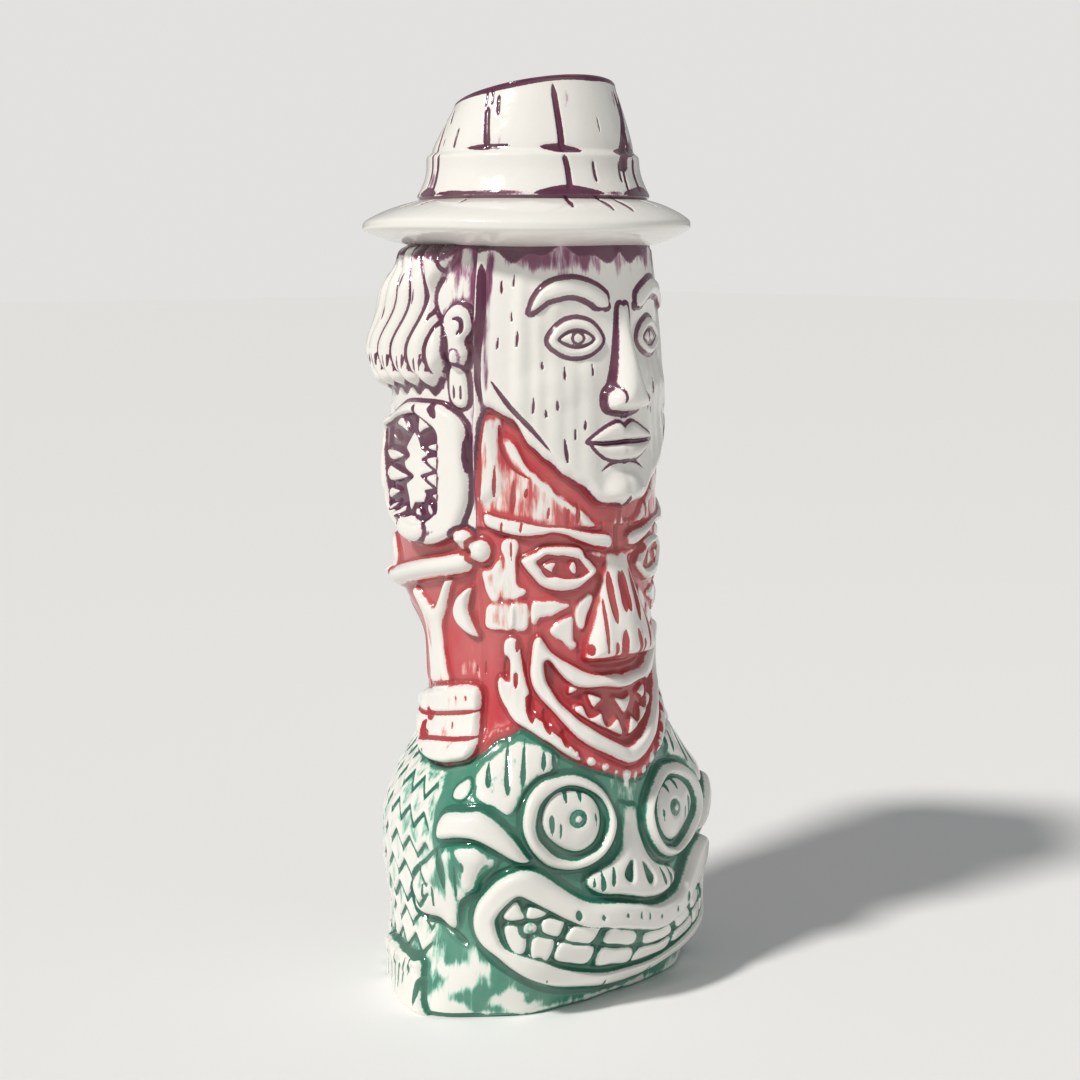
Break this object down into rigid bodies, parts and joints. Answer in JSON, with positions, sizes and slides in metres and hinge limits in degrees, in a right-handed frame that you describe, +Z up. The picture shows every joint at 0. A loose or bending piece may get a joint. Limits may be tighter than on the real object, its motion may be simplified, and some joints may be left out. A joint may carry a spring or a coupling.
{
  "type": "tiki mug",
  "caption": "Tall glazed ceramic mug shaped as stacked carved heads under a brimmed hat. The hollow crown is the mouth, and a flat foot rests on a table.",
  "frame": {"origin": "middle of the flat underside of the foot, on the axis of the cup's mouth", "axes": "+Z up out of the mouth, -Y the way the faces look, +X the heads' own left"},
  "size_m": [0.0916, 0.0881, 0.2295],
  "materials": {
    "cup_glaze": "gloss purple glaze inside the cup and on the lip",
    "purple_wiped_glaze": "off-white gloss, purple glaze left in the grooves and wiped off the raised parts",
    "red_wiped_glaze": "off-white gloss, red glaze left in the recesses and wiped off the raised parts",
    "green_wiped_glaze": "off-white gloss, green glaze left in the recesses and wiped off the raised parts"
  },
  "bodies": {
    "root": {"cup_wall": "cup_glaze", "hat_brim": "purple_wiped_glaze", "hat_band": "purple_wiped_glaze", "hat_crown": "purple_wiped_glaze", "upper_face": "purple_wiped_glaze", "upper_hair_right": "purple_wiped_glaze", "upper_hair_left": "purple_wiped_glaze", "upper_nose": "purple_wiped_glaze", "upper_eye_right": "purple_wiped_glaze", "upper_eye_left": "purple_wiped_glaze", "upper_brow_right": "purple_wiped_glaze", "upper_brow_left": "purple_wiped_glaze", "upper_lips": "purple_wiped_glaze", "upper_chin": "purple_wiped_glaze", "upper_ear_right": "purple_wiped_glaze", "upper_ear_left": "purple_wiped_glaze", "side_jaw_right": "purple_wiped_glaze", "side_jaw_left": "purple_wiped_glaze", "side_jaw_teeth_right": "purple_wiped_glaze", "side_jaw_teeth_left": "purple_wiped_glaze", "middle_cap": "red_wiped_glaze", "middle_headband": "red_wiped_glaze", "middle_face": "red_wiped_glaze", "middle_side_right": "red_wiped_glaze", "middle_side_left": "red_wiped_glaze", "middle_nose": "red_wiped_glaze", "middle_eye_right": "red_wiped_glaze", "middle_eye_left": "red_wiped_glaze", "middle_lips": "red_wiped_glaze", "middle_teeth_upper": "red_wiped_glaze", "middle_teeth_lower": "red_wiped_glaze", "middle_ear_right": "red_wiped_glaze", "middle_ear_left": "red_wiped_glaze", "bone_right": "red_wiped_glaze", "bone_left": "red_wiped_glaze", "forearm_right": "red_wiped_glaze", "forearm_left": "red_wiped_glaze", "fist_right": "red_wiped_glaze", "fist_left": "red_wiped_glaze", "creature_face": "green_wiped_glaze", "creature_back": "green_wiped_glaze", "creature_eye_ring_right": "green_wiped_glaze", "creature_eye_ring_left": "green_wiped_glaze", "creature_eyeball_right": "green_wiped_glaze", "creature_eyeball_left": "green_wiped_glaze", "creature_snout": "green_wiped_glaze", "creature_lips": "green_wiped_glaze", "creature_teeth_upper": "green_wiped_glaze", "creature_teeth_lower": "green_wiped_glaze", "creature_temple_right": "green_wiped_glaze", "creature_temple_left": "green_wiped_glaze", "creature_brow_right": "green_wiped_glaze", "creature_brow_left": "green_wiped_glaze", "creature_cheek_right": "green_wiped_glaze", "creature_cheek_left": "green_wiped_glaze", "creature_foot_right": "green_wiped_glaze", "creature_foot_left": "green_wiped_glaze", "base": "green_wiped_glaze"}
  },
  "joints": []
}
